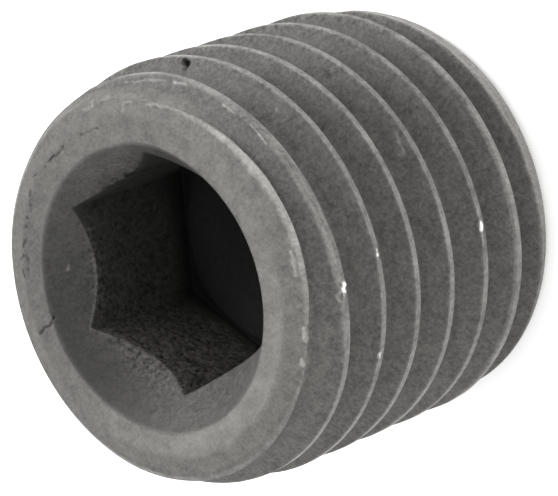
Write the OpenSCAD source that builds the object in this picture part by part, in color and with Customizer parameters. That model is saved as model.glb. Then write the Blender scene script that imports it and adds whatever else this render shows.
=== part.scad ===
// Hexagon socket screw plug with a tapered fine thread, made from one piece of steel.
// Millimetres. The plug stands on its flat inner end, and the socket opens upwards.

/* [Body] */
// Length from the inner end to the socket face
length = 10.5; // [9:0.1:20]

/* [Thread] */
// Thread diameter at the gauge plane
thread_d = 12; // [11.5:0.25:18]
// Rise of the thread in one turn
pitch = 1.5; // [1:0.05:2]
// Height of the gauge plane above the inner end
gauge_h = 4.6; // [0:0.1:9]
// Length in which the thread grows by 1 in diameter
taper = 16; // [12:1:60]
// Height of the first crest above the inner end, on the X axis
first_crest = 0.42; // [0:0.02:1]

/* [Ends] */
// Diameter of the flat inner end
end_d = 10.7; // [10:0.1:11]
// Outer diameter of the flat face round the socket
face_d = 9.6; // [9.1:0.1:10.2]
// Outer diameter of the shallow bevel round that face
bevel_d = 10.8; // [10.4:0.1:11.2]
// Slope of the shallow bevel from the face
bevel_angle = 20; // [5:1:30]
// Width of the 45 degree chamfer round both ends
end_chamfer = 0.2; // [0.1:0.05:0.4]
// Angle from the axis at which the end turns then rise to the full thread
lead_angle = 14; // [12:1:30]

/* [Socket] */
// Width of the hexagon across its flats
socket_af = 6.05; // [4:0.05:6.5]
// Depth of the flats below the socket face
socket_depth = 5; // [3:0.1:6]
// Diameter of the countersink at the face
sink_d = 8.2; // [7.8:0.1:9]
// Included angle of the countersink
sink_angle = 80; // [70:1:120]
// Diameter of the pilot drilled before the hexagon was pressed
pilot_d = 5.8; // [3:0.1:6]
// Included angle of the pilot's drilled point
pilot_angle = 118; // [90:1:140]

/* [Hidden] */
plug_color = "#56575a";
// Steps round one turn of the thread
turn_steps = 60;
// Steps round the turned surfaces
round_steps = 144;
// Overlap of cutting tools past the surface they cut
cut = 1;

// Form of the 60 degree thread, as shares of its pitch
crest_flat = 1 / 8;
root_radius = 0.14434;
thread_depth = 0.61343;
flank_angle = 30;
root_half = root_radius * cos(flank_angle);
root_rise = root_radius * (1 - sin(flank_angle));

// One pitch of the thread outline: [share of the pitch, depth below the crest as a share]
thread_outline = [
    [-crest_flat / 2, 0],
    [crest_flat / 2, 0],
    [0.5 - root_half, thread_depth - root_rise],
    [0.5, thread_depth],
    [0.5 + root_half, thread_depth - root_rise],
];

// Radius of the full crest at height z
function crest_r(z) = thread_d / 2 + (z - gauge_h) / (2 * taper);

// Turns by which the modelled screw runs past each end of the plug
overrun = 1.1;
// Height of the crest where the modelled screw starts, below the inner end
screw_start = first_crest - pitch * ceil(first_crest / pitch + overrun);
// Turns that carry the screw past the socket face
screw_turns = ceil((length - screw_start) / pitch + overrun);

function screw_point(turn, step, corner) =
    let (z = screw_start + pitch * (turn + step / turn_steps + corner[0]),
         r = crest_r(z) - pitch * corner[1],
         a = 360 * step / turn_steps)
    [r * cos(a), r * sin(a), z];

// A screw longer than the plug, closed at both ends by a fan of faces to the axis
module endless_screw() {
    corners = len(thread_outline);
    steps = screw_turns * turn_steps;
    points = [
        for (i = [0:steps], corner = thread_outline)
            screw_point(floor(i / turn_steps), i % turn_steps, corner),
    ];
    foot = len(points);
    top_ring = steps - turn_steps;
    // Corner c of step i; the corner after the last is the first one, a turn higher
    function at(i, c) = c < corners ? i * corners + c : (i + turn_steps) * corners;
    sides = [
        for (i = [0:top_ring - 1], c = [0:corners - 1])
            each [[at(i, c), at(i, c + 1), at(i + 1, c + 1)],
                  [at(i, c), at(i + 1, c + 1), at(i + 1, c)]],
    ];
    foot_fan = concat(
        [for (i = [0:turn_steps - 1]) [foot, at(i, 0), at(i + 1, 0)]],
        [for (c = [0:corners - 1]) [foot, at(0, c + 1), at(0, c)]]);
    top_fan = concat(
        [for (i = [top_ring:steps - 1]) [foot + 1, at(i + 1, 0), at(i, 0)]],
        [for (c = [0:corners - 1]) [foot + 1, at(top_ring, c), at(top_ring, c + 1)]]);
    polyhedron(
        points = concat(points, [[0, 0, points[0][2]], [0, 0, points[steps * corners][2]]]),
        faces = concat(sides, foot_fan, top_fan));
}

// Side of one turned end: from its outer edge at height z and diameter d, a 45 degree chamfer
// and the long lead, which stops clear of the full thread. side is 1 for the upper end and -1
// for the lower.
function end_outline(z, side, d) =
    let (clear_r = crest_r(length) + cut, lead_r = d / 2 + end_chamfer)
    [[d / 2, z],
     [lead_r, z - side * end_chamfer],
     [clear_r, z - side * (end_chamfer + (clear_r - lead_r) / tan(lead_angle))]];

// Everything the lathe leaves, both ends with their chamfers and leads
module turned_ends() {
    bevel_h = (bevel_d - face_d) / 2 * tan(bevel_angle);
    inner = concat([[0, 0]], end_outline(0, -1, end_d));
    outer = concat([[0, length], [face_d / 2, length]], end_outline(length - bevel_h, 1, bevel_d));
    rotate_extrude($fn = round_steps)
        polygon(concat(inner, [for (i = [1:len(outer)]) outer[len(outer) - i]]));
}

// Countersink, hexagon and the drilled point below it
module socket() {
    sink_r = sink_d / 2;
    slope = tan(sink_angle / 2);
    pilot_r = pilot_d / 2;
    hexagon_r = socket_af / 2 / cos(30);
    translate([0, 0, length - socket_depth])
        cylinder(h = socket_depth + cut, r = hexagon_r, $fn = 6);
    rotate_extrude($fn = round_steps)
        polygon([
            [0, length - sink_r / slope],
            [sink_r + cut * slope, length + cut],
            [0, length + cut],
        ]);
    rotate_extrude($fn = round_steps)
        polygon([
            [0, length - socket_depth - pilot_r / tan(pilot_angle / 2)],
            [pilot_r, length - socket_depth],
            [0, length - socket_depth],
        ]);
}

module screw_plug() {
    color(plug_color)
        difference() {
            intersection() {
                endless_screw();
                turned_ends();
            }
            socket();
        }
}

screw_plug();
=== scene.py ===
# A hexagon socket screw plug, standing on its inner end with the socket upwards. Its sizes are in
# millimetres until the mesh is brought to metres, and angles round it are in degrees.
import math

import bpy
import numpy as np
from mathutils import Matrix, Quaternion, Vector, noise


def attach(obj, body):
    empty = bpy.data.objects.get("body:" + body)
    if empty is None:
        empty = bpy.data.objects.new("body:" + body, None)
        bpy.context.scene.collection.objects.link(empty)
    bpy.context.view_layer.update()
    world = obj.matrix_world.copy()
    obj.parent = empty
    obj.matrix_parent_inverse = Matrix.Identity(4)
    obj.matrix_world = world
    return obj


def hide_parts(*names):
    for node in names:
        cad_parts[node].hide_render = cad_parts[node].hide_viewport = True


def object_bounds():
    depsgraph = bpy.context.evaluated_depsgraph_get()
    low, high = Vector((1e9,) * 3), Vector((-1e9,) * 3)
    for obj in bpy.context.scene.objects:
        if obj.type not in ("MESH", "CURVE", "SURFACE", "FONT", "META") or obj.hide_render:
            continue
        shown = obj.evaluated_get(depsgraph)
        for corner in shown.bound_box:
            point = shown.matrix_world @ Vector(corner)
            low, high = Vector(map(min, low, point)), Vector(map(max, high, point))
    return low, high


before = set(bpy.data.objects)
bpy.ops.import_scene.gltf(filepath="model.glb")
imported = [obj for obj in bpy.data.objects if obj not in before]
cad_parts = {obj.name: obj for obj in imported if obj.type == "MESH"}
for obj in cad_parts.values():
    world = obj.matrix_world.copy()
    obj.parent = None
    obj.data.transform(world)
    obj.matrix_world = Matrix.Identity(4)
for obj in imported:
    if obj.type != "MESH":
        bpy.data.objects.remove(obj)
cad_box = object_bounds()

# Thread: a tapered fine thread rolled into one bar of phosphated steel. Its first turns stay flat
# on the shallow lead behind the socket face, with a lip along both edges, and its last turn stays
# unfilled on the lead at the inner end. Handling wears the crests bright.
MM = 0.001
length = cad_box[1].z / MM
thread_r = 6
gauge_h = 4.6
taper = 16
pitch = 1.5
first_crest = 0.42
# half of a crest's flat, as a share of the pitch, and how steeply the 60 degree form rises
crest_half = 1 / 16
flank_slope = math.sqrt(3)
# the arc of the thread's root, and the depth of its centre below the crest
root_radius = 0.2165
root_centre = 0.7037
# inner end, inside its chamfer, and the lead above that chamfer
end_r = 5.35
chamfer = 0.2
end_lead_slope = math.tan(math.radians(14))
# lead behind the socket face, and the edge where the face's bevel meets its own chamfer
face_lead_r = 5.9
face_edge_r = 5.475
bevel_low = length - 0.22
# the level rings between which the thread's own surface lies
ring_low = 0.26
ring_high = bevel_low - 0.26
# points in one turn, and the angle at which the sweeps start and end
columns = 244
seam = 86


def smooth_step(x, low, high):
    """0 up to low, 1 from high on, and smooth between them."""
    t = np.clip((x - low) / (high - low), 0, 1)
    return t * t * (3 - 2 * t)


def smooth_min(a, b, blend):
    """The smaller of a and b, rounded off where they differ by less than blend."""
    h = np.clip(0.5 + 0.5 * (b - a) / blend, 0, 1)
    return b + (a - b) * h - blend * h * (1 - h)


def hump(x, middle, half):
    """1 at middle, falling smoothly to 0 at half away from it."""
    return 1 - smooth_step(np.abs(x - middle), 0, half)


def hump_round(angle, middle, half):
    """A hump of the angle round the axis."""
    return hump((angle - middle + 180) % 360 - 180, 0, half)


def rough(x, y, z, size):
    """Smooth noise between -1 and 1 whose bumps are about size across."""
    x, y, z = np.broadcast_arrays(x, y, z)
    points = np.stack([x.ravel(), y.ravel(), z.ravel()], 1) / size
    return np.array([noise.noise(p) for p in points]).reshape(x.shape)


def rough_round(angle, r, z, size):
    """The same noise at a place given by its angle, radius and height."""
    turn = np.radians(angle)
    return rough(r * np.cos(turn), r * np.sin(turn), z, size)


def crest_radius(angle, z):
    """Radius of the full crest, worn low at 89 and at -106 degrees towards the socket."""
    near = smooth_step(z, 0, 8.5) * (1 - smooth_step(z, 9, 9.7))
    low = 0.15 * hump_round(angle, 89, 80) * near
    low = low + hump_round(angle, -106, 60) * (0.03 + 0.17 * smooth_step(z, 8.4, 8.9))
    return thread_r + (z - gauge_h) / (2 * taper) - low


def own_crest(angle, z):
    """Height, at this angle, of the crest whose turn the point z belongs to."""
    turn = angle / 360
    return first_crest + pitch * (np.round((z - first_crest) / pitch - turn) + turn)


def unfilled(crest):
    """How far the turn next to the face, whose crest is 9.1 mm up or more, is left unfilled."""
    return 0.3 * smooth_step(crest, 9.1, 9.85) * (1 - smooth_step(crest, 10.1, 10.4))


def end_radius(angle):
    """Radius of the inner end inside its chamfer, turned slightly out of round."""
    return end_r + 0.06 * np.cos(np.radians(angle + 100))


def lead_radius(angle, crest, z):
    """Largest radius that the leads leave at height z, on the turn with this crest height."""
    down = bevel_low + 0.02 - z
    # the crest next to the face is lower than the one after it
    upper = face_lead_r - 0.24 * smooth_step(crest, 9.62, 9.8)
    upper = upper + 0.25 * (1 - smooth_step(crest, 9.14, 9.4))
    # the lead widens slowly and ends 1.7 to 3 mm below the face
    upper = upper + 0.05 * np.clip(down - 0.6, 0, 3) + 4 * smooth_step(down, 1.7, 3)
    upper = upper - 0.14 * hump_round(angle, 114, 38) - 0.06 * hump_round(angle, -117, 28)
    lower = end_radius(angle) + chamfer + (z - chamfer) * end_lead_slope
    return np.minimum(upper, lower)


def chamfer_radius(angle, z):
    """Radius of the 45 degree chamfers of both ends, the upper one with an uneven edge."""
    edge = face_edge_r + 0.045 * np.cos(np.radians(angle + 61)) + 0.2 * hump_round(angle, -10, 55)
    edge = edge - 0.1 * hump_round(angle, 50, 28) - 0.04 * hump_round(angle, 117, 30)
    return np.minimum(edge + np.maximum(bevel_low - z, -0.05), end_radius(angle) + z)


def brim_radius(angle, z):
    """Radius of a lip that facing the bar pushed out over the first groove."""
    return 5.3 + 0.38 * hump_round(angle, -10, 60) - 2.5 * np.maximum(bevel_low - 0.05 - z, 0)


def thread_depth(angle, z):
    """Depth of the thread form below its full crest."""
    turn = (z - first_crest) / pitch - angle / 360
    away = np.abs(turn - np.round(turn))
    flank = np.maximum(0, (away - crest_half) * pitch * flank_slope)
    from_root = np.minimum((0.5 - away) * pitch, root_radius * 0.99)
    root = root_centre + np.sqrt(root_radius**2 - from_root**2)
    in_root = (0.5 - away) * pitch < root_radius * math.cos(math.pi / 6)
    form = np.where(in_root, root, flank)
    return form + unfilled(own_crest(angle, z)) * (1 - smooth_step(away, 0.13, 0.43))


def plug_radius(angle, z):
    """Radius of the thread, leads and chamfers, with small roundings where they meet."""
    full = crest_radius(angle, z) - thread_depth(angle, z)
    r = smooth_min(full, lead_radius(angle, own_crest(angle, z), z), 0.03)
    r = -smooth_min(-r, -brim_radius(angle, z), 0.04)
    return smooth_min(r, chamfer_radius(angle, z), 0.03)


def swept(name, rows, rise):
    """An upright chain of points run once round Z by the Screw modifier; lay then places them."""
    bpy.ops.object.select_all(action="DESELECT")
    bpy.ops.mesh.primitive_grid_add(x_subdivisions=1, y_subdivisions=rows - 1, size=2)
    piece = bpy.context.object
    piece.name = name
    bpy.ops.object.mode_set(mode="EDIT")
    bpy.ops.mesh.select_all(action="DESELECT")
    bpy.ops.object.mode_set(mode="OBJECT")
    for v in piece.data.vertices:
        v.select = v.co.x > 0
    bpy.ops.object.mode_set(mode="EDIT")
    bpy.ops.mesh.delete(type="VERT")
    bpy.ops.object.mode_set(mode="OBJECT")
    for v in piece.data.vertices:
        v.co = (end_r, 0, (v.co.y + 1) / 2 * (rows - 1))
    screw = piece.modifiers.new("turn", "SCREW")
    screw.steps = screw.render_steps = columns
    screw.screw_offset = rise
    screw.use_merge_vertices = False
    bpy.ops.object.modifier_apply(modifier="turn")
    return piece


def lay(piece, points, bare, tone_and_painted_light):
    """Moves the swept grid onto points[column, row] and stores its wear and its tone.

    Wear is 0 where the coat is whole, 1 on bare steel and 2 where that is burnished. The tone
    is how pale the coat is, and it also carries painted light and painted shade.
    """
    made = len(piece.data.vertices) // points.shape[1]
    piece.data.vertices.foreach_set("co", points[:made].astype(np.float32).ravel())
    for name, values in (("bare", bare), ("tone_and_painted_light", tone_and_painted_light)):
        layer = piece.data.attributes.new(name, "FLOAT", "POINT")
        spread = np.broadcast_to(values, points.shape[:2])[:made]
        layer.data.foreach_set("value", spread.astype(np.float32).ravel())
    piece.data.update()


# the angle and the direction of each column of points, and the share of the turn it has come
angles = seam + 360 * np.arange(columns + 1) / columns
around = np.stack([np.cos(np.radians(angles)), np.sin(np.radians(angles))], 1)
angle = angles[:, None]
turn_share = np.arange(columns + 1)[:, None] / columns

# rows of points follow the thread; a row's number is its turns above the crest at the seam
seam_crest = first_crest + pitch * seam / 360
first_row = (ring_low - seam_crest) / pitch - 1
last_row = (ring_high - seam_crest) / pitch
# rows beside a crest, in halves of its flat: 1 is the flat's edge, 8 the middle of the groove
beside = [0, 0.3, 0.6, 0.8, 0.93, 1.0, 1.08, 1.25, 1.7, 2.6, 3.8, 5.1, 6.2, 7.0, 8.0]
shares = np.array([-b for b in beside[:0:-1]] + beside[:-1]) * crest_half
crests = range(math.floor(first_row) - 1, math.ceil(last_row) + 2)
rows = [crest + share for crest in crests for share in shares]
least_gap = 0.01
rows = [row for row in rows if first_row + least_gap < row < last_row - least_gap]
rows = np.array([first_row] + rows + [last_row])

# where the lead takes drop off a crest, its flat grows wider, and the rows on it spread out
most_drop = 0.45
centre = np.round(rows)
offset = rows - centre
crest_z = seam_crest + pitch * (centre[None, :] + turn_share)
filled = crest_radius(angle, crest_z) - unfilled(crest_z)
drop = np.maximum(filled - lead_radius(angle, crest_z, crest_z), 0)
flat = crest_half + np.minimum(drop, most_drop) / (pitch * flank_slope)
on_flat = np.abs(offset) <= crest_half
on_flank = flat + (np.abs(offset) - crest_half) / (0.5 - crest_half) * (0.5 - flat)
moved = np.where(on_flat, offset / crest_half * flat, np.sign(offset) * on_flank)
z = seam_crest + pitch * (centre + moved + turn_share)

# the first and the last turn of rows close up into the level rings
low_line = seam_crest + pitch * (first_row + 1 + turn_share)
top_line = seam_crest + pitch * (last_row - 1 + turn_share)
z[:, 0] = (low_line - pitch)[:, 0]
z[:, -1] = (top_line + pitch)[:, 0]
z = np.where(z > top_line, top_line + (z - top_line) * (1 - turn_share), z)
z = np.where(z < low_line, low_line - (low_line - z) * turn_share, z)
z = np.clip(z, ring_low, ring_high)
r = plug_radius(angle, z)

# a crest that the lead leaves wide has a lip along both edges; the crest nearest the inner end is
# blunt on one side; and what makes the surface uneven fades out at the rings
from_middle = np.abs(offset) / crest_half
fade = 0.1
within = smooth_step(z, ring_low, ring_low + fade) * (1 - smooth_step(z, ring_high - fade, ring_high))
below = np.minimum(crest_radius(angle, z), lead_radius(angle, own_crest(angle, z), z)) - r
blunt = hump_round(angle, -25, 75) * hump(crest_z, 1.8, 0.6)
crest = (1 - smooth_step(below, 0.01 + 0.03 * blunt, 0.05 + 0.09 * blunt)) * (from_middle < 4)
wide = smooth_step(drop, 0.05, 0.2) * crest
lip = hump(from_middle, 0.93, 0.22) * wide * within
uneven = rough_round(angle, r, z, 0.7)
r = r + (0.03 * lip * (1 + uneven) - 0.02 * hump(from_middle, 0, 0.7) * wide * within)
r = r + 0.006 * rough_round(angle, r, z, 0.35) * within


def brushed(angle):
    """Wear of the last turn and of the inner end's edge, which are rubbed on one side."""
    return 0.8 * np.clip(1.6 * hump_round(angle, 15, 110), 0, 1)


# wide crests are rubbed in strands on two sides, and sharp ones more in some stretches than others
strand = rough(angle / 9, 3.3 * from_middle * np.sign(offset), 0.7 * centre, 1)
rubbed_side = 0.1 + 0.45 * hump_round(angle, 0, 42) + 0.2 * hump_round(angle, 72, 30)
wide_worn = np.maximum(wide * rubbed_side * (1 + 1.6 * strand), 0.5 * lip * (1 + uneven))
along = rough(angle / 11, centre[None, :] * 3.7, 0, 1)
worn = crest * (0.36 + 0.25 * uneven + 0.25 * along + 0.3 * blunt) * (1 - wide) + wide_worn
last_crest = first_crest + pitch * ((angle + 180) % 360 - 180) / 360
last_turn = 1 - smooth_step(z - last_crest - pitch * flat, -0.08, 0.02)
worn = np.maximum(worn, brushed(angle) * last_turn * (1 + 0.25 * uneven))

# painted light makes the coat paler in the grooves and towards -105 degrees, painted shade darker
# towards 75; it is paler beside the face at 85
groove = np.clip(below, 0, 0.9) / 0.9
tone_and_painted_light = (0.79 + 0.43 * groove) * (1 - 0.2 * np.cos(np.radians(angle - 75)))
tone_and_painted_light = tone_and_painted_light * (1 + 0.16 * hump_round(angle, 85, 60) * smooth_step(z, 9.2, 9.6))
plug = swept("screw_plug_steel", len(rows), pitch)
lay(plug, np.stack([r * around[:, :1], r * around[:, 1:], z], 2), worn, tone_and_painted_light)

# Socket face and socket: the bar's end is faced with a shallow bevel round it, countersunk and
# drilled, and the hexagon for a 6 mm key is pressed in, a little off the axis. Facing leaves a
# bright burr along one side of the edge, and pressing leaves the hexagon's walls uneven.
bevel_from = 4.8
bevel_slope = math.tan(math.radians(16))
rim_r = 4.08
rim_at = np.array([-0.015, -0.079])
sink_angle = 72
sink_slope = math.tan(math.radians(sink_angle / 2))
socket_af = 6.05
socket_floor = length - 5
off_axis = np.array([-0.068, 0.164])
pilot_r = 2.9
pilot_angle = 118

# the hexagon has a corner at 0 degrees; its walls bulge on one side and are ragged on the next
from_corner = (np.radians(angles) + math.pi / 6) % (math.pi / 3) - math.pi / 6
hexagon_r = socket_af / 2 / np.cos(math.pi / 6 - np.abs(from_corner))
hexagon_r = hexagon_r + 0.14 * hump_round(angles, 28, 50)
hexagon_r = hexagon_r + 0.1 * hump_round(angles, 51, 26)
hexagon_r = hexagon_r + 0.08 * hump_round(angles, 88, 34) * rough_round(angles, hexagon_r, 0, 0.25)
hexagon = off_axis + hexagon_r[:, None] * around


def bevel_radius(z):
    """Radius of the bevel at height z."""
    return bevel_from + (length - z) / bevel_slope


def face_z(xy):
    """Height of the bevel, the flat face and the countersink, rounded off where they meet."""
    out = np.linalg.norm(xy, axis=-1)
    cone = length - (rim_r - np.linalg.norm(xy - rim_at, axis=-1)) / sink_slope
    bevel = length - (out - bevel_from) * bevel_slope
    return smooth_min(smooth_min(cone, length + 0 * out, 0.06), bevel, 0.02)


# height and radius of the outer edge, where the side meets the bevel, found by halving
low = bevel_low - 0.2 + 0 * angles
high = length - 0.01 + 0 * angles
for _ in range(40):
    middle = (low + high) / 2
    past = plug_radius(angles, middle) > bevel_radius(middle)
    low, high = np.where(past, low, middle), np.where(past, middle, high)
edge_z = low
edge_r = plug_radius(angles, edge_z)

face = []
face_bare = []
face_painted_light = []


def face_row(xy, z, bare=0, tone_and_painted_light=1):
    """Adds one closed row of points, with its wear and its tone with painted light and shade, to the
    face and the socket.
    """
    face.append(np.concatenate([xy, (z + 0 * angles)[:, None]], 1))
    face_bare.append(bare + 0 * angles)
    face_painted_light.append(tone_and_painted_light + 0 * angles)


# the burr is thickest at 3 degrees and has almost gone at 88
ragged = rough_round(angles, edge_r, edge_z, 0.45)
finer = rough_round(angles, edge_r, edge_z, 0.2)
thick = hump_round(angles, 3, 60)
burr = 0.3 - 0.24 * hump_round(angles, 88, 60) + 0.5 * smooth_step(thick, 0.1, 0.8)
burr = np.clip(burr + 0.35 * ragged, 0, 1)


def burr_left(inward):
    """How much of the bright burr is left at a distance in from the edge."""
    end = 0.05 + (0.27 + 0.12 * ragged + 0.1 * finer) * thick
    return 1 - smooth_step(inward, 0.01 + 0.13 * thick, end)


# up the chamfer, and over the edge, whose outermost row sags a little
edge_w = 0.15
for share in np.linspace(0, 0.97, 9):
    z = ring_high + (edge_z - ring_high) * share
    r = plug_radius(angles, z)
    away = np.hypot(edge_r - r, edge_z - z)
    face_row(r[:, None] * around, z, burr * (1 - smooth_step(away, 0.08, 0.22)))
for inward, sag in ((0.012, 0.006), (0.03, 0), (0.06, 0), (0.1, 0), (edge_w, 0)):
    xy = (edge_r - inward)[:, None] * around
    face_row(xy, face_z(xy) - sag, burr * burr_left(inward))

# in over the bevel and the flat face, painted paler towards -90 degrees as painted light and, on
# the flat face, darker towards 170 as painted shade, as far as the rounding of the countersink's rim
painted_lit_side = hump_round(angles, -90, 150)
painted_dark_side = hump_round(angles, 170, 90)
bevel_painted_light = 1.02 + 0.1 * painted_lit_side
flat_painted_light = 1.04 + 0.55 * painted_lit_side - 0.35 * painted_dark_side
for share in np.concatenate([np.linspace(0.08, 0.9, 12), [0.96]]):
    out = (edge_r - edge_w) * (1 - share) + bevel_from * share
    on_bevel = smooth_step(out, bevel_from - 0.1, bevel_from + 0.2)
    xy = out[:, None] * around
    left = burr * burr_left(edge_r - out)
    face_row(xy, face_z(xy), left, flat_painted_light * (1 - on_bevel) + bevel_painted_light * on_bevel)
rim_rounding = 0.12
rim = rim_at + (rim_r + rim_rounding) * around
for share in (0, 0.05, 0.12, 0.25, 0.4, 0.55, 0.7, 0.82, 0.92, 1):
    xy = bevel_from * around * (1 - share) + rim * share
    face_row(xy, face_z(xy), 0, flat_painted_light)

# down the countersink, painted darker towards 170 degrees and at 44 as painted shade, darker near
# its rim at -160 degrees and near the hexagon at 86, and knocked bright by the hexagon at 165
mouth = hexagon + 0.02 * around
sink_painted_shade = 0.82 - 0.47 * painted_dark_side - 0.5 * hump_round(angles, 44, 34)
for share in np.concatenate([np.linspace(0.02, 0.32, 11), np.linspace(0.4, 1, 11)]):
    xy = rim * (1 - share) + mouth * share
    dim_near_rim = 0.35 * hump_round(angles, -160, 45) * (1 - smooth_step(share, 0.3, 0.9))
    dim_near_hexagon = hump_round(angles, 86, 40) * smooth_step(share, 0.55, 1) * (1 + 1.2 * ragged)
    knocked = 0.3 * hump_round(angles, 165, 50) * smooth_step(share, 0.93, 0.99)
    in_sink = smooth_step(share, 0.03, 0.12)
    tone_and_painted_light = flat_painted_light * (1 - in_sink) + sink_painted_shade * (1 - dim_near_rim) * in_sink
    face_row(xy, face_z(xy), knocked, tone_and_painted_light * (1 - 0.45 * np.clip(dim_near_hexagon, 0, 1)))

# down the hexagon's walls, over its floor and down the drill's point, painted darker with depth as
# painted shade, and paler on the wall at -131 degrees
lip_z = face_z(hexagon)
lip_painted_shade = 0.5
wall_painted_shade = 0.31 + 0.16 * hump_round(angles, -131, 80)
corner_painted_shade = 0.1
floor_painted_shade = 0.07
for down in (0.02, 0.06, 0.15, 0.3, 0.5, 0.8, 1.2, 1.7, 2.3, 3.0):
    z = np.maximum(lip_z - down, socket_floor + 0.02)
    face_row(hexagon, z, 0, lip_painted_shade + (wall_painted_shade - lip_painted_shade) * smooth_step(down, 0, 0.5))
face_row(hexagon, socket_floor, 0, corner_painted_shade)
pilot = off_axis + pilot_r * around
for share in (0.5, 1):
    face_row(hexagon * (1 - share) + pilot * share, socket_floor, 0, floor_painted_shade)
for share in (0.25, 0.5, 0.75, 1):
    depth = share * pilot_r / math.tan(math.radians(pilot_angle / 2))
    face_row(off_axis + pilot_r * (1 - share) * around, socket_floor - depth, 0, floor_painted_shade)
socket = swept("socket", len(face), 0)
lay(socket, np.stack(face, 1), np.stack(face_bare, 1), np.stack(face_painted_light, 1))

# Inner end: the bar's other end is faced flat, with a 45 degree chamfer, and the plug stands on
# it. Its edge is rubbed as bright as the last turn of the thread, and the flat keeps its coat.
foot = []
foot_worn = []


def foot_row(xy, z, worn):
    """Adds one closed row of points to the inner end, with its share of the edge's wear."""
    foot.append(np.concatenate([xy, z + 0 * xy[:, :1]], 1))
    foot_worn.append(worn)


for up in np.linspace(ring_low, 0.02, 7):
    edge = plug_radius(angles, up + 0 * angles)[:, None] * around
    foot_row(edge, up, 1)
foot_row(edge * 0.995, 0.004, 0.8)
foot_row(edge * 0.985, 0, 0.3)
for share in (0.9, 0.7, 0.4, 0.15, 0):
    foot_row(edge * share, 0, 0.2)
inner_end = swept("inner_end", len(foot), 0)
lay(inner_end, np.stack(foot, 1), np.maximum(0.1, brushed(angle)) * np.array(foot_worn), 1)

# One bar: thread, socket side and inner end are the same steel, so their surfaces are joined and
# welded, along the rings and along the seam.
bpy.ops.object.select_all(action="DESELECT")
for part in (inner_end, socket, plug):
    part.select_set(True)
bpy.context.view_layer.objects.active = plug
bpy.ops.object.join()
bpy.ops.object.mode_set(mode="EDIT")
bpy.ops.mesh.select_all(action="SELECT")
bpy.ops.mesh.remove_doubles(threshold=0.002)
bpy.ops.mesh.dissolve_degenerate(threshold=0.0005)
bpy.ops.mesh.normals_make_consistent(inside=False)
bpy.ops.object.mode_set(mode="OBJECT")

# Damage: a pit in a flank, torn lines and a crack in the face, and lips and nicks that knocks
# have raised and rubbed bright on the crests, the bevel and the edge.
skin = plug.data


def read(layer, name, size=1):
    """One value, or one row of size values, for each item of a mesh layer."""
    values = np.empty(len(layer) * size, np.float32)
    layer.foreach_get(name, values)
    return values.reshape(-1, size) if size > 1 else values


def mark(places, width, push, worn_to=0, tone_to=1, torn=False):
    """Refines the skin along a line and pushes it out or in there, with its wear and tone.

    Each place is an angle round the axis, a radius and a height. The line wanders a little from
    its places. A torn one wanders more and has gaps.
    """
    stray = 0.1 if torn else 0.03
    line = []
    for turn, r, z in places:
        x = r * math.cos(math.radians(turn))
        y = r * math.sin(math.radians(turn))
        line.append(np.array([x, y, z]))

    def gap(points):
        """Distance of each point from the line."""
        nearest = np.full(len(points), np.inf)
        for start, end in zip(line, line[1:]):
            along = end - start
            share = np.clip((points - start) @ along / (along @ along), 0, 1)
            beside = points - start - share[:, None] * along
            nearest = np.minimum(nearest, np.linalg.norm(beside, axis=1))
        return nearest

    # refine the mesh a little past the mark's width
    bpy.ops.object.mode_set(mode="EDIT")
    bpy.ops.mesh.select_all(action="DESELECT")
    bpy.ops.object.mode_set(mode="OBJECT")
    skin.vertices.foreach_set("select", gap(read(skin.vertices, "co", 3)) < width + 0.11)
    bpy.ops.object.mode_set(mode="EDIT")
    bpy.ops.mesh.subdivide(number_cuts=2)
    bpy.ops.object.mode_set(mode="OBJECT")
    # near the line the distance to it wanders, in each direction by noise of its own
    points = read(skin.vertices, "co", 3)
    normals = read(skin.vertices, "normal", 3)
    away = gap(points)
    close = away < width + 0.15
    here = points[close]
    wander = np.stack([rough(*(here + shift).T, 0.3) for shift in (7, 23, 41)], 1)
    away[close] = gap(here + stray * wander) + 0.4 * width * rough(*here.T, 0.12)
    share = 1 - smooth_step(away, 0.2 * width, width)
    if torn:
        share[close] *= smooth_step(rough(*(here + 11).T, 0.25), -0.3, 0.0)
    skin.vertices.foreach_set("co", (points + push * share[:, None] * normals).ravel())
    bare = skin.attributes["bare"].data
    tone_and_painted_light = skin.attributes["tone_and_painted_light"].data
    bare.foreach_set("value", np.maximum(read(bare, "value"), worn_to * share))
    tone_and_painted_light.foreach_set("value", read(tone_and_painted_light, "value") * (1 + (tone_to - 1) * share))
    skin.update()


pit = ((59.3, 5.86, 8.34), (58, 5.86, 8.34), (58.2, 5.82, 8.37))
mark(pit, width=0.115, push=-0.17, tone_to=0.1)
smudge = ((33.5, 5.66, 5.4), (32, 5.66, 5.37))
mark(smudge, width=0.15, push=-0.03, tone_to=0.45)
# torn lines on the flat face near the bevel, of which the last is a branch
for torn_line in (
    ((66, 4.5, 10.5), (69, 4.56, 10.5)),
    ((78, 4.57, 10.5), (83, 4.58, 10.5), (87, 4.6, 10.5)),
    ((90.5, 4.76, 10.5), (91, 4.6, 10.5)),
    (
        (96, 4.68, 10.5), (102, 4.65, 10.5), (105.5, 4.7, 10.5),
        (109, 4.72, 10.5), (112, 4.78, 10.5), (116, 4.93, 10.47),
    ),
    ((118, 4.9, 10.47), (120.5, 4.85, 10.49), (124, 4.78, 10.5), (127.5, 4.65, 10.5)),
    ((130, 4.74, 10.5), (137, 4.7, 10.5), (141, 4.77, 10.5), (146, 4.88, 10.48), (152, 4.85, 10.49)),
    ((143, 4.7, 10.5), (148, 4.62, 10.5), (151, 4.66, 10.5)),
):
    mark(torn_line, width=0.065, push=-0.04, tone_to=0.45, torn=True)
# a crack from the bevel across the flat face into the countersink
crack = ((171.5, 4.78, 10.5), (170, 4.5, 10.5), (170, 4.3, 10.5), (167.5, 4.05, 10.43))
mark(crack, width=0.06, push=-0.05, tone_to=0.4)
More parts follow.
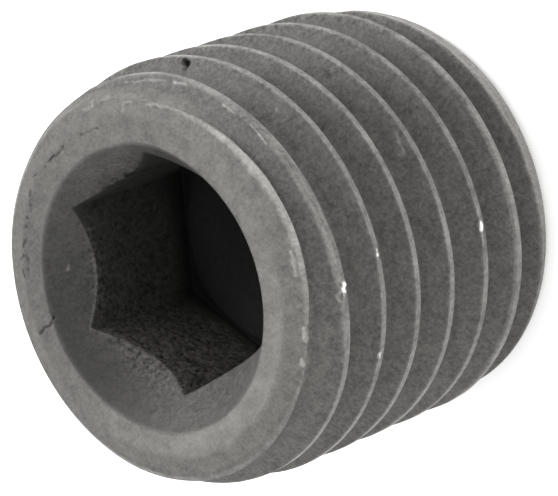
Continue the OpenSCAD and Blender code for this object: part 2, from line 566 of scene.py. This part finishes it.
# lips and nicks knocked bright: width, push, wear and places
for width, push, worn_to, *places in (
    (0.05, 0.01, 0.35, (67, 5.65, 9.94), (60, 5.7, 9.89), (53, 5.78, 9.82)),
    (0.055, 0.01, 0.55, (50, 5.77, 9.82), (46, 5.82, 9.78)),
    (0.045, 0.01, 0.6, (33, 5.82, 9.73), (28.5, 5.82, 9.73)),
    (0.05, 0.01, 0.7, (23, 5.86, 9.68), (19, 5.85, 9.68), (15.5, 5.84, 9.68)),
    (0.14, 0.03, 2, (-27, 6, 9.25), (-28.6, 6, 9.28)),
    (
        0.06, 0.02, 1, (-28.6, 6, 9.38), (-30.3, 6.01, 9.25), (-31.4, 6, 9.41),
        (-29.9, 5.93, 9.52), (-28.6, 6, 9.38),
    ),
    (0.07, -0.03, 0.3, (-29.8, 6, 9.37), (-30.2, 6, 9.39)),
    (0.1, 0.03, 0.7, (-15, 5.4, 10.34), (-22, 5.36, 10.34)),
    (0.07, 0.02, 0.6, (-40, 5.91, 9.36), (-47, 5.91, 9.35)),
    (0.08, 0.02, 0.32, (65, 4.94, 10.47), (64.7, 5.15, 10.42), (61.5, 5.2, 10.39)),
    (0.09, 0.02, 0.4, (55, 5.16, 10.4), (52, 5.25, 10.38), (49.5, 5.22, 10.4), (46, 5.29, 10.36)),
    (0.09, 0.02, 0.4, (82, 5.19, 10.4), (78.1, 5.21, 10.39), (78.1, 5.34, 10.3)),
    (0.09, 0.02, 0.7, (25.5, 5.78, 8.3), (25, 5.78, 8.31)),
    (0.11, 0.03, 2, (-24, 5.97, 3.36), (-26, 5.97, 3.37)),
    (0.07, 0.02, 0.9, (-20, 5.96, 3.37), (-30, 5.96, 3.35)),
    (0.09, 0.02, 2, (-21.5, 6.09, 7.84), (-22.5, 6.09, 7.83)),
    (0.08, 0.02, 1.4, (-49.3, 6.09, 7.77), (-50.6, 6.09, 7.77)),
    (0.07, 0.02, 0.8, (-27, 5.9, 1.85), (-35, 5.9, 1.8)),
    (0.06, -0.01, 0.6, (6, 5.86, 5.12), (0, 5.77, 5.16)),
    (0.13, 0.04, 1, (-38, 5.46, 10.3), (-41, 5.47, 10.3)),
    (0.11, 0.03, 0.9, (-47.5, 5.46, 10.3), (-49, 5.46, 10.3)),
    (0.06, 0.01, 0.3, (147, 3.6, 9.9), (150, 3.66, 9.94)),
):
    mark(places, width, push, worn_to)
# the finished mesh goes to metres, and only its sharp edges stay sharp
bpy.ops.object.select_all(action="DESELECT")
plug.select_set(True)
bpy.ops.transform.resize(value=(MM, MM, MM), center_override=(0, 0, 0))
bpy.ops.object.transform_apply(location=True, rotation=True, scale=True)
bpy.ops.object.shade_smooth_by_angle(angle=math.radians(35))

# Finish: the steel is phosphated, which leaves a dull dark coat of fine crystals in patches. Rubbed
# places show bare steel through it, grain by grain, and knocked ones are burnished.
steel = bpy.data.materials.new("phosphated_steel")
steel.use_nodes = True
tree = steel.node_tree
shader = tree.nodes["Principled BSDF"]


class NodeValue:
    """An output of a shader node, whose arithmetic adds Math nodes."""

    def __init__(self, tree, output=None):
        self.tree = tree
        self.output = output

    def node(self, kind, settings=None, inputs=None, out=0):
        """Adds a node: its settings first, then the values or links of its inputs."""
        new = self.tree.nodes.new(kind)
        for name, value in (settings or {}).items():
            setattr(new, name, value)
        for name, value in (inputs or {}).items():
            if isinstance(value, NodeValue):
                self.tree.links.new(value.output, new.inputs[name])
            else:
                new.inputs[name].default_value = value
        return NodeValue(self.tree, new.outputs[out])

    def maths(self, operation, a, b, clamp=False):
        """A Math node on the values a and b."""
        return self.node("ShaderNodeMath", {"operation": operation, "use_clamp": clamp}, {0: a, 1: b})

    def __add__(self, other):
        return self.maths("ADD", self, other)

    def __sub__(self, other):
        return self.maths("SUBTRACT", self, other)

    def __rsub__(self, other):
        return self.maths("SUBTRACT", other, self)

    def __mul__(self, other):
        return self.maths("MULTIPLY", self, other)

    __radd__, __rmul__ = __add__, __mul__

    def clamped(self):
        """This value, kept between 0 and 1."""
        return self.maths("ADD", self, 0, clamp=True)

    def tint(self, colour):
        """The colour scaled by this value."""
        return self.node("ShaderNodeVectorMath", {"operation": "SCALE"}, {0: colour, "Scale": self})

    def mixed(self, a, b):
        """Colour a where this is 0 and colour b where it is 1."""
        return self.node("ShaderNodeMix", {"data_type": "RGBA"}, {"Factor": self, 6: a, 7: b}, out=2)


net = NodeValue(tree)
place = net.node("ShaderNodeTexCoord", out="Object")


def grain(size, detail, roughness):
    """Noise from 0 to 1 with grains of about size millimetres."""
    sizes = {"Vector": place, "Scale": 1 / (size * MM), "Detail": detail, "Roughness": roughness}
    return net.node("ShaderNodeTexNoise", inputs=sizes)


def ramp(value, low, high):
    """0 up to low, 1 from high on, and straight between them."""
    return ((value - low) * (1 / (high - low))).clamped()


wear = net.node("ShaderNodeAttribute", {"attribute_name": "bare"}, out="Fac")
# the tone carries the painted light and painted shade into the coat's colour
shade = net.node("ShaderNodeAttribute", {"attribute_name": "tone_and_painted_light"}, out="Fac")
fine = grain(0.1, 3, 0.7)
patches = grain(0.45, 3, 0.6)
crystals = grain(0.16, 2, 0.6)
height = net.node("ShaderNodeSeparateXYZ", inputs={0: place}, out="Z")
# the coat is grey in patches, with specks that are weaker near the face, and is coarsest on the
# hexagon's walls, which their tone and their height tell from the rest
coat_grey = 0.088
coat_tint = (1.015, 0.985, 0.92)
near_face = ramp(height, 9.84 * MM, 10.44 * MM)
speck = (0.17 * (fine - 0.5) + 0.09 * (crystals - 0.5)) * (1 - 0.35 * near_face) * shade.clamped()
below_sink = 1 - ramp(height, 9.33 * MM, 9.67 * MM)
on_wall = (0.75 - shade).clamped() * (shade - 0.22).clamped() * below_sink
coarse = 3.5 * on_wall * (crystals + fine - 1)
coat = (shade * (coat_grey + 0.09 * (patches - 0.5) + coarse) + speck).clamped()
# the steel below it is brighter where it is burnished
steel_grey = 0.24
steel_tint = (1.01, 0.985, 0.935)
burnished = (wear - 1).clamped()
bared = wear.clamped()
metal = steel_grey + 0.6 * burnished + 0.3 * (fine - 0.5) + 0.16 * (patches - 0.5)
rubbed = (bared + bared * (1 - bared) * 3 * (crystals - 0.5)).clamped()
colour = rubbed.mixed(coat.tint(coat_tint), metal.tint(steel_tint))
grit = fine * (1 - 0.6 * rubbed) + 0.4 * crystals
relief = {"Strength": 0.35, "Distance": 0.03 * MM, "Height": grit}
bump = net.node("ShaderNodeBump", inputs=relief)
# rubbed steel is smoother, and the darkest tone, mostly painted shade down in the socket, is
# metallic, so that it stays dark
for name, value in (
    ("Base Color", colour),
    ("Roughness", 0.62 - 0.17 * rubbed + 0.1 * (patches - 0.5)),
    ("Metallic", 0.1 + 0.35 * rubbed + 0.9 * (1 - 4 * shade).clamped()),
    ("Normal", bump),
):
    tree.links.new(value.output, shader.inputs[name])
plug.data.materials.clear()
plug.data.materials.append(steel)
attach(plug, "root")
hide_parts("screw_plug")

# Floor: a pale sheet that the plug stands on. It glows a little, which keeps the shadow light.
bpy.ops.mesh.primitive_plane_add(size=3, location=(0, 0, 0))
floor = bpy.context.object
floor.name = "floor"
pale = bpy.data.materials.new("pale_floor")
pale.use_nodes = True
paint = pale.node_tree.nodes["Principled BSDF"].inputs
paint["Base Color"].default_value = (0.95, 0.95, 0.95, 1)
paint["Roughness"].default_value = 0.9
paint["Emission Color"].default_value = (1, 1, 1, 1)
paint["Emission Strength"].default_value = 0.3
floor.data.materials.append(pale)

# Soft studio light: a white tent all round, and one lamp 60 mm wide high up on the +Y side.
world = bpy.data.worlds.new("tent")
bpy.context.scene.world = world
world.use_nodes = True
tent = world.node_tree.nodes["Background"].inputs
tent["Color"].default_value = (1, 1, 1, 1)
tent["Strength"].default_value = 1.25
lamp_at = Vector((-0.012, 0.064, 0.075))
bpy.ops.object.light_add(type="AREA", location=lamp_at)
lamp = bpy.context.object
lamp.name = "key_lamp"
lamp.data.size = 0.06
lamp.data.energy = 0.07
lamp.rotation_euler = lamp_at.to_track_quat("Z", "Y").to_euler()

# Camera: a long lens 229 mm away, 46 degrees above the floor and rolled on its side.
aim = Vector((-0.00012, -0.00014, 0.00515))
distance = 0.2291
azimuth = math.radians(-11)
elevation = math.radians(45.62)
roll = math.radians(-109.4)
level = math.cos(elevation)
back = Vector((level * math.cos(azimuth), level * math.sin(azimuth), math.sin(elevation)))
camera_data = bpy.data.cameras.new("camera")
camera_data.lens = 529
camera_data.sensor_width = 36
camera = bpy.data.objects.new("camera", camera_data)
bpy.context.collection.objects.link(camera)
camera.location = aim + back * distance
camera.rotation_mode = "QUATERNION"
camera.rotation_quaternion = (-back).to_track_quat("-Z", "Y") @ Quaternion((0, 0, 1), roll)
bpy.context.scene.camera = camera
bpy.context.scene.view_settings.view_transform = "Standard"
